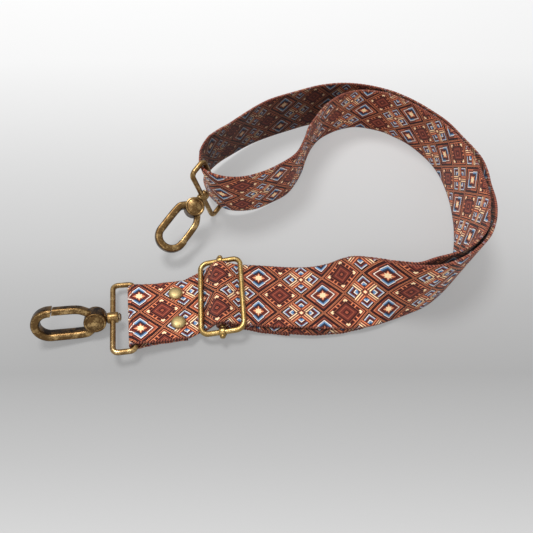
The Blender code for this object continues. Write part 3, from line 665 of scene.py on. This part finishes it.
# ---------------------------------------------------------------- webbing pieces
def ribbon(name, stations, start_u, sign, face, body_or_blend, nodes, materials=None):
    """Rounded strip of webbing; face +1 prints the side of travel x width, -1 the other."""
    half = WEBBING_WIDTH / 2.0
    thick = WEBBING_THICKNESS / 2.0
    flat = half - EDGE_ROUND
    shoulder = half - EDGE_SHOULDER
    rise = 0.72 * thick
    # Each point: across, through, and 1 where it lies on the unprinted side
    section = [((-1.0 + 2.0 * column / COLUMNS) * flat, thick, 0) for column in range(COLUMNS + 1)]
    section += [(shoulder, rise, 0), (half, 0.0, 0), (shoulder, -rise, 1)]
    section += [((1.0 - 2.0 * column / COLUMNS) * flat, -thick, 1) for column in range(COLUMNS + 1)]
    section += [(-shoulder, -rise, 1), (-half, 0.0, 0), (-shoulder, rise, 0)]
    count = len(section)
    verts = []
    uvs = []
    length = 0.0
    before = None
    for index, (point, width) in enumerate(stations):
        ahead = stations[min(index + 1, len(stations) - 1)][0] - stations[max(index - 1, 0)][0]
        normal = ahead.cross(width).normalized() * face
        centre = point + width * half
        if before is not None:
            length += (centre - before).length
        before = centre
        notch = EDGE_NOTCH if index % 2 else 0.0
        for a, b, _ in section:
            drawn = a - math.copysign(notch, a) if abs(a) > flat else a
            verts.append(TO_FRAME @ (centre + width * drawn + normal * b))
            uvs.append((start_u + sign * length, a))
    faces = []
    indices = []
    for index in range(len(stations) - 1):
        one = index * count
        two = one + count
        for side in range(count):
            after = (side + 1) % count
            quad = (one + side, one + after, two + after, two + side)
            faces.append(quad if face < 0 else quad[::-1])
            indices.append(1 if section[side][2] and section[after][2] else 0)
    ends = [tuple(range(count)), tuple((len(stations) - 1) * count + side for side in range(count))]
    for cap, flip in zip(ends, (face > 0, face < 0)):
        faces.append(cap if flip else cap[::-1])
        indices.append(1)
    item = make_object(name, verts, faces, materials or [front, back_painted_shade], uvs, indices)
    if isinstance(body_or_blend, str):
        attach(item, body_or_blend)
    else:
        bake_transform(item)
    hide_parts(*nodes)


def slipped(fine, start):
    """The lower layer, drawn out from under the top one by SLIP's amounts."""
    result = []
    for index, (point, width) in enumerate(fine):
        place = (index - start) / STEPS
        amount = 0.0
        for (low, first), (high, second) in zip(SLIP, SLIP[1:]):
            if low <= place <= high:
                share = (place - low) / (high - low)
                amount = first + (second - first) * share * share * (3.0 - 2.0 * share)
        result.append((point - width * amount, width))
    return result


main_fine, main_start = main_route()
return_fine, return_start = return_route()
return_fine = slipped(return_fine, return_start)
main_cut = main_start + SEAM_STATION * STEPS
return_cut = return_start + SEAM_STATION * STEPS
bar_cut = 3 * STEPS

left_part = main_fine[STEPS:bar_cut + 1]
right_part = main_fine[bar_cut:main_cut + 1]
main_stand = main_fine[main_cut:]
return_slide = return_fine[:return_cut + 1]
return_stand = return_fine[return_cut:]
bridge = smooth_route([return_stand[-1 - STEPS], return_stand[-1], main_stand[-1],
                       main_stand[-1 - STEPS]], STEPS)[STEPS + 1:2 * STEPS]
stand = return_stand + bridge + list(reversed(main_stand))

end_profile = [(FOLD_BACK, -LAYER / 2.0), (0.45 * FOLD_BACK, -LAYER / 2.0),
               (0.27 * FOLD_BACK, -0.55 * FOLD)]
for step in range(BAR_STEPS + 1):
    angle = math.radians(270.0 - 180.0 * step / BAR_STEPS)
    end_profile.append((FOLD * math.cos(angle), FOLD * math.sin(angle)))
end_profile += [(0.27 * FOLD_BACK, 0.55 * FOLD), (0.45 * FOLD_BACK, LAYER / 2.0),
                (FOLD_BACK, LAYER / 2.0)]
end_part = smooth_route(profile_stations(end_matrix(), end_profile), 3)

wrap_profile = []
for step in range(BAR_STEPS + 1):
    angle = math.radians(90.0 + 180.0 * step / BAR_STEPS)
    wrap_profile.append((WRAP * math.cos(angle), WRAP * math.sin(angle)))
low = -UNDER - 2.0 * LAYER
wrap_profile += [(0.30 * REACH, 0.55 * low), (0.63 * REACH, 0.80 * low)]
wrap_lead = profile_stations(slider_matrix(), wrap_profile)
tail = beneath(return_fine, return_start - STEPS, return_start + TAIL_STATIONS * STEPS)
joined = smooth_route(wrap_lead[BAR_STEPS:] + tail[:1], STEPS)
wrap_part = wrap_lead[:BAR_STEPS] + joined[:-1] + tail

u_left = route_length(left_part)
u_right = u_left + route_length(right_part)
u_stand = u_right + route_length(stand)
u_return = u_stand + route_length(return_slide)


def slider_point(x):
    return TO_FRAME @ slider_matrix() @ Vector((x, 0.0, 0.0))


left_start = end_frame @ Vector((FOLD_BACK + SEAM_LEAD, 0.0, 0.0))
left_end = slider_point(-REACH - SEAM_LEAD)
# Along the webbing, from the left piece's start
flow = turn((END_YAW + SLIDER_YAW) / 2.0, "Z").to_3x3() @ Vector((1.0, 0.0, 0.0))
left_end = left_start + flow * (left_end - left_start).dot(flow)
right_start = slider_point(REACH)
seam_point, seam_width = main_fine[main_cut]
seam_near = TO_FRAME @ (seam_point + seam_width * (WEBBING_WIDTH / 2.0))
right_end = Vector((seam_near.x - SEAM_MARGIN, right_start.y, right_start.z))

ribbon("webbing_end_skin", end_part, -route_length(end_part), 1, 1, "strap",
       ["webbing_riveted_end"], [front_painted_lit, back_painted_shade])
ribbon("webbing_left_skin", left_part, 0.0, 1, 1, ("strap", "slider", left_start, left_end),
       ["webbing_straight"], [front_left_painted_lit, back_painted_shade])
ribbon("webbing_right_skin", right_part, u_left, 1, 1, ("slider", "strap", right_start, right_end),
       ["webbing_straight"])
ribbon("webbing_return_skin", return_slide, u_return, -1, -1,
       ("slider", "strap", right_start, right_end), ["webbing_return"])
ribbon("webbing_wrap_skin", wrap_part, u_return, 1, 1, "slider", ["webbing_wrap"])
ribbon("webbing_loop_skin", stand, u_stand, -1, -1, "strap", ["webbing_main"], [front_painted_lit, back_painted_shade])


# ---------------------------------------------------------------- metal pieces
def rounded_rectangle(length_x, length_y, corner, steps):
    """Frames for tube_shell along the middle of a wire bent to a rounded rectangle."""
    frames = []
    for sign_x, sign_y, start in ((1, 1, 0.0), (-1, 1, 90.0), (-1, -1, 180.0), (1, -1, 270.0)):
        centre = Vector((sign_x * (length_x / 2.0 - corner),
                         sign_y * (length_y / 2.0 - corner), 0.0))
        for step in range(steps + 1):
            angle = math.radians(start + 90.0 * step / steps)
            out = Vector((math.cos(angle), math.sin(angle), 0.0))
            frames.append((centre + out * corner, out, Vector((0.0, 0.0, 1.0))))
            if step == steps:
                nxt = math.radians(start + 90.0)
                tangent = Vector((-math.sin(nxt), math.cos(nxt), 0.0))
                straight = (length_y if abs(tangent.y) > 0.5 else length_x) - 2.0 * corner
                for part in range(1, 8):
                    frames.append((centre + out * corner + tangent * (straight * part / 8), out,
                                   Vector((0.0, 0.0, 1.0))))
    return frames


def metal(name, shell, matrix, material, body, nodes, angle=50.0):
    """A metal piece on one body, crisp along its edges over the angle."""
    verts, faces = place_shell(shell, TO_FRAME @ matrix)
    item = make_object(name, verts, faces, [material])
    outward(item, angle)
    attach(item, body)
    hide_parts(*nodes)


def eyelet(inner, outer, length, power=4.0):
    """Rounded sleeve along Z."""
    centre = (inner + outer) / 2.0
    frames = []
    for side in range(32):
        angle = TAU * side / 32
        out = Vector((math.cos(angle), math.sin(angle), 0.0))
        frames.append((out * centre, out, Vector((0.0, 0.0, 1.0))))
    return tube_shell(frames, oval(outer - inner, length, power, 20), closed=True)


slider = slider_matrix()
window = WEBBING_WIDTH + SLIDER_SLACK
frame_path = rounded_rectangle(SLIDER_LENGTH - SLIDER_WIRE, window + SLIDER_WIRE,
                               SLIDER_CORNER, 10)
frame_shell = tube_shell(frame_path, oval(SLIDER_WIRE, SLIDER_WIRE, 2.3), closed=True)
metal("slider_frame_skin", frame_shell, slider, brass, "slider", ["slider_frame"])
bar_reach = (window + SLIDER_WIRE) / 2.0
bore = SLIDER_WIRE / 2.0 + GAP
stop = bar_reach - bore - EYELET_WALL / 2.0
bar = rounded_edge_rod(CENTRE_BAR_DIAMETER / 2.0, stop, ROD_EDGE)
bar_shells = [revolve_shell(bar, 24, turn(-90.0, "X"))]
for side in (-1.0, 1.0):
    place = shift(0.0, side * bar_reach, 0.0) @ turn(90.0, "Y")
    bar_shells.append(place_shell(eyelet(bore, bore + EYELET_WALL, 0.8 * EYELET_WIDTH, 2.4), place))
    knob = rounded_edge_rod(0.5 * CENTRE_BAR_DIAMETER, EYELET_WALL, 0.6 * EYELET_WALL)
    reach = side * (bar_reach + bore + EYELET_WALL)
    bar_shells.append(revolve_shell(knob, 24, shift(0.0, reach, 0.0) @ turn(90.0, "X")))
metal("slider_bar_skin", join_shells(*bar_shells), slider, brass, "slider", ["slider_centre_bar"])

# Rivets
end = end_matrix()
cap_top = LAYER / 2.0 + WEBBING_THICKNESS / 2.0 + GAP
for index, side in enumerate((-0.5, 0.5)):
    radius = RIVET_CAP_DIAMETER / 2.0
    dome = [(0.0, 0.0), (radius - ROD_EDGE, 0.0), (radius, ROD_EDGE), (radius, RIVET_RIM)]
    for step in range(1, 12):
        angle = math.radians(90.0 * step / 12)
        dome.append((radius * math.cos(angle) ** 0.75,
                     RIVET_RIM + (RIVET_CAP_HEIGHT - RIVET_RIM) * math.sin(angle)))
    dome.append((0.0, RIVET_CAP_HEIGHT))
    place = end @ shift(RIVET_FROM_BAR, side * RIVET_PITCH, cap_top)
    metal("rivet_cap_skin_%d" % (index + 1), revolve_shell(dome, 48), place, rivet_brass, "strap",
          ["rivet_cap_%d" % (index + 1)])


def ring_pitch():
    return RING_OPENING + RING_WIRE


def ring_1_matrix():
    return end_matrix() @ turn(180.0, "Z") @ turn(-RING_1_RISE, "Y")


def ring_2_matrix():
    stations = lay_stations(RETURN_ROUTE)
    point, width = stations[RING_2_STATION]
    ahead = stations[RING_2_STATION + 1][0] - stations[RING_2_STATION - 1][0]
    out = width.cross(ahead).normalized()
    origin = point + width * (WEBBING_WIDTH / 2.0) - out * (FOLD + GAP)
    matrix = Matrix.Identity(4)
    for column, axis in enumerate((out, width, out.cross(width), origin)):
        for row in range(3):
            matrix[row][column] = axis[row]
    return matrix @ turn(RING_2_TURN, "Y")


def make_ring(number, matrix):
    pitch = ring_pitch()
    length = WEBBING_WIDTH + RING_SLACK + RING_WIRE
    frames = [(point + Vector((pitch / 2.0, 0.0, 0.0)), out, up)
              for point, out, up in rounded_rectangle(pitch, length, RING_CORNER, 10)]
    wire = tube_shell(frames, oval(RING_WIRE, RING_WIRE, 2.2), closed=True)
    place = shift(pitch, 0.0, 0.0) @ turn(90.0, "Y")
    boss = eyelet(BOSS_BORE / 2.0, BOSS_DIAMETER / 2.0, BOSS_LENGTH)
    metal("ring_skin_%d" % number, join_shells(wire, place_shell(boss, place)), matrix, ring_brass,
          "ring_%d" % number, ["ring_%d" % number])


make_ring(1, ring_1_matrix())
make_ring(2, ring_2_matrix())


def make_hook(number, matrix, turned):
    neck = BOSS_LENGTH / 2.0 + GAP
    barrel = neck + NECK_LENGTH + BARREL_DIAMETER / 2.0 - BARREL_DIAMETER / 10.0
    side = (HOOK_INNER_WIDTH + HOOK_BAR) / 2.0
    bow = barrel + BARREL_DIAMETER / 2.0 + HOOK_INNER_LENGTH - HOOK_INNER_WIDTH / 2.0
    radius = BARREL_DIAMETER / 2.0
    place = matrix @ shift(ring_pitch(), 0.0, 0.0) @ turn(turned, "X")
    # Dark patina, with the hook's flats painted lighter and its sides darker: painted light and
    # shade
    cast_brass_painted_shade = metal_material("antique_brass_cast_%d" % number, srgb(222, 186, 128),
                               srgb(118, 90, 56), srgb(38, 27, 22), rough=(0.26, 0.46), rub=0.9,
                               face=place.to_3x3() @ Vector((0.0, 0.0, 1.0)))
    up = Vector((0.0, 0.0, 1.0))
    pivot = Vector((barrel, BARREL_DIAMETER / 5.0, 0.0))
    tip = Vector((bow - side / 4.0 - pivot.x, side - pivot.y, 0.0))
    slant = Vector((tip.y / tip.x, -1.0, 0.0))
    points = [Vector((barrel, -0.35 * radius, 0.0)),
              Vector((barrel + 0.55 * radius, -0.80 * side, 0.0)),
              Vector((barrel + 1.25 * radius, -side, 0.0))]
    fine = smooth_points(points + [Vector((bow, -side, 0.0))], 6)
    for step in range(1, 25):
        angle = math.radians(-90.0 + 180.0 * step / 24)
        fine.append(Vector((bow + side * math.cos(angle), side * math.sin(angle), 0.0)))
    frames = []
    for index, point in enumerate(fine):
        ahead = fine[min(index + 1, len(fine) - 1)] - fine[max(index - 1, 0)]
        frames.append((point, Vector((ahead.y, -ahead.x, 0.0)).normalized(), up))
    frames.append((pivot + tip + Vector((1.5 * GAP, 0.0, 0.0)), -slant, up))
    body = tube_shell(frames, oval(HOOK_BAR, HOOK_DEPTH, 4.0, 32))
    face = BARREL_DEPTH / 2.0 + FACE_RISE
    rim = [(radius - inset, face - depth) for inset, depth in FACE_GROOVE]
    drum = rounded_edge_rod(radius, face, DRUM_EDGE, 5)
    drum = ([(0.0, -face)] + [(r, -z) for r, z in rim] + drum[1:-1]
            + [(r, z) for r, z in reversed(rim)] + [(0.0, face)])
    drum = revolve_shell(drum, 56, shift(barrel, 0.0, 0.0))
    throat = NECK_DIAMETER / 2.0
    stem = revolve_shell([(0.0, neck), (throat - NECK_EDGE, neck), (throat, neck + NECK_EDGE),
                          (throat, barrel), (0.0, barrel)], 32, turn(90.0, "Y"))
    metal("hook_skin_%d" % number, join_shells(body, drum, stem), place, cast_brass_painted_shade,
          "hook_%d" % number, ["hook_body_%d" % number], CAST_ANGLE)
    route = smooth_points([Vector((0.0, 0.0, 0.0)), Vector((0.22 * tip.x, 0.62 * tip.y, 0.0)),
                           Vector((0.45 * tip.x, 0.95 * tip.y, 0.0)), tip], 6)
    frames = []
    for index, point in enumerate(route[:-1]):
        ahead = route[index + 1] - route[max(index - 1, 0)]
        frames.append((pivot + point, Vector((ahead.y, -ahead.x, 0.0)).normalized(), up))
    frames.append((pivot + tip, slant, up))
    gate = tube_shell(frames, oval(GATE_BAR, GATE_EYE_WIDTH, 4.0, 28))
    eye = rounded_edge_rod(GATE_EYE_DIAMETER / 2.0, GATE_EYE_WIDTH / 2.0, EYE_EDGE)
    eye = revolve_shell(eye, 32, Matrix.Translation(pivot))
    metal("gate_skin_%d" % number, join_shells(gate, eye), place, cast_brass_painted_shade, "gate_%d" % number,
          ["gate_%d" % number], CAST_ANGLE)


make_hook(1, ring_1_matrix(), HOOK_1_TURN)
make_hook(2, ring_2_matrix(), HOOK_2_TURN)

for name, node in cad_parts.items():
    if name.startswith(("swivel_post", "gate_pin", "rivet_post")):
        node.data.materials.clear()
        node.data.materials.append(rivet_brass if name.startswith("rivet") else steel)

# ---------------------------------------------------------------- floor, light and camera
floor_mesh = bpy.data.meshes.new("floor")
floor_mesh.from_pydata([(-4, -4, 0), (4, -4, 0), (4, 4, 0), (-4, 4, 0)], [], [(0, 1, 2, 3)])
floor = bpy.data.objects.new("floor", floor_mesh)
bpy.context.scene.collection.objects.link(floor)
g = Nodes("floor_paper")
parts = g.add("ShaderNodeSeparateXYZ")
g.put(parts.inputs[0], g.add("ShaderNodeTexCoord").outputs["Object"])
# Pale at the far side, mid grey where the strap's near edge lies, and paler again in front
TABLE_TONES = ((0.0, 214), (0.0247, 211), (0.0530, 195), (0.0939, 175), (0.135, 188),
               (0.178, 203), (0.235, 216), (0.293, 229), (0.372, 243), (0.52, 252))
TONES_REACH = 0.6
stops = [(place / TONES_REACH, srgb(tone, tone, tone)) for place, tone in TABLE_TONES]
away = g.math("SUBTRACT", parts.outputs[1], TO_FRAME.translation.y)
share = g.math("MULTIPLY", away, 1.0 / TONES_REACH)
# Part of the tone is the floor's own, where the camera and the metal see it.
# The rest takes the shadow.
path = g.add("ShaderNodeLightPath")
seen = g.math("MAXIMUM", path.outputs["Is Camera Ray"],
              g.math("MAXIMUM", path.outputs["Is Glossy Ray"], path.outputs["Is Transmission Ray"]))
OWN_SHARE = 0.52
own = g.math("MULTIPLY", seen, OWN_SHARE)
tone = g.ramp(share, stops, "LINEAR")
toned = g.add("ShaderNodeVectorMath", operation="SCALE")
g.put(toned.inputs[0], tone)
g.put(toned.inputs["Scale"], g.math("SUBTRACT", 0.97, own))
g.put(g.shader.inputs["Base Color"], toned.outputs[0])
g.put(g.shader.inputs["Emission Color"], tone)
g.put(g.shader.inputs["Emission Strength"], own)
g.shader.inputs["Roughness"].default_value = 0.9
g.shader.inputs["Specular IOR Level"].default_value = 0.0
floor_mesh.materials.append(g.material)

world = bpy.data.worlds.new("studio")
bpy.context.scene.world = world
world.use_nodes = True
background = world.node_tree.nodes["Background"]
background.inputs["Color"].default_value = (1.0, 1.0, 1.0, 1.0)
background.inputs["Strength"].default_value = 0.50


def area_light(name, place, aim, size, power):
    data = bpy.data.lights.new(name, "AREA")
    data.shape = "DISK"
    data.size = size
    data.energy = power
    lamp = bpy.data.objects.new(name, data)
    lamp.location = place
    lamp.rotation_euler = (Vector(aim) - Vector(place)).to_track_quat("-Z", "Y").to_euler()
    bpy.context.scene.collection.objects.link(lamp)


area_light("key", (-0.22, 0.20, 1.15), (0.0, 0.0, 0.0), 0.42, 8.0)
area_light("front", (-0.25, -0.70, 0.85), (0.0, 0.0, 0.0), 0.5, 2.0)

# The camera's height over the table, and its tilt up from straight down
CAMERA_HEIGHT = 0.2186
CAMERA_TILT = 36.0
camera_data = bpy.data.cameras.new("camera")
camera_data.sensor_width = 36.0
camera_data.lens = 31.74
camera_data.clip_start = 0.01
camera = bpy.data.objects.new("camera", camera_data)
camera.matrix_world = TO_FRAME @ shift(0.0, 0.0, CAMERA_HEIGHT) @ turn(CAMERA_TILT, "X")
bpy.context.scene.collection.objects.link(camera)
bpy.context.scene.camera = camera
bpy.context.scene.view_settings.view_transform = "Standard"
